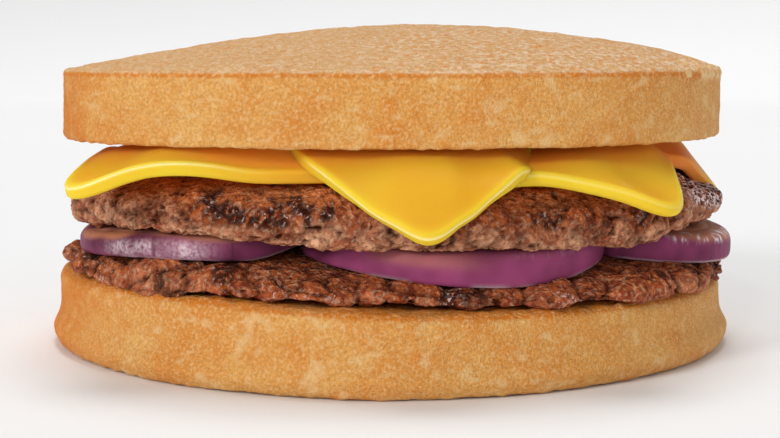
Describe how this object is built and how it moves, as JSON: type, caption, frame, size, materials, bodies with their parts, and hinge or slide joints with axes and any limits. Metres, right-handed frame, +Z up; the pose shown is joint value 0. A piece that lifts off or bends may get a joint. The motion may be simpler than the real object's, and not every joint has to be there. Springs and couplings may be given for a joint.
{
  "type": "sourdough melt",
  "caption": "Toasted sourdough sandwich: rough seared beef patties with red onion slices between them, under melted square cheese whose corners hang out over the meat",
  "frame": {"origin": "on the surface that the sandwich stands on, under the middle of its bounding box", "axes": "+X is the long way of the bread, to the right in the picture; +Y goes away from the camera, so -Y is the front; +Z is up"},
  "size_m": [0.1233, 0.1219, 0.0565],
  "materials": {
    "bread": "toasted bread crust, matt, golden tan with a fine mottled grain",
    "beef": "seared minced beef, rough and crumbly, brown with dark char and small wet glints",
    "cheese": "melted mild cheese, smooth and softly glossy, warm yellow",
    "red_onion": "grilled red onion, glossy plum sides and a browned upper face"
  },
  "bodies": {
    "root": {"bread_bottom": "bread", "patty_lower": "beef", "onion_front_left": "red_onion", "onion_front_centre": "red_onion", "onion_front_right": "red_onion", "onion_back_left": "red_onion", "onion_back_right": "red_onion", "patty_upper": "beef", "cheese_lower": "cheese", "cheese_upper": "cheese", "bread_top": "bread"}
  },
  "joints": []
}
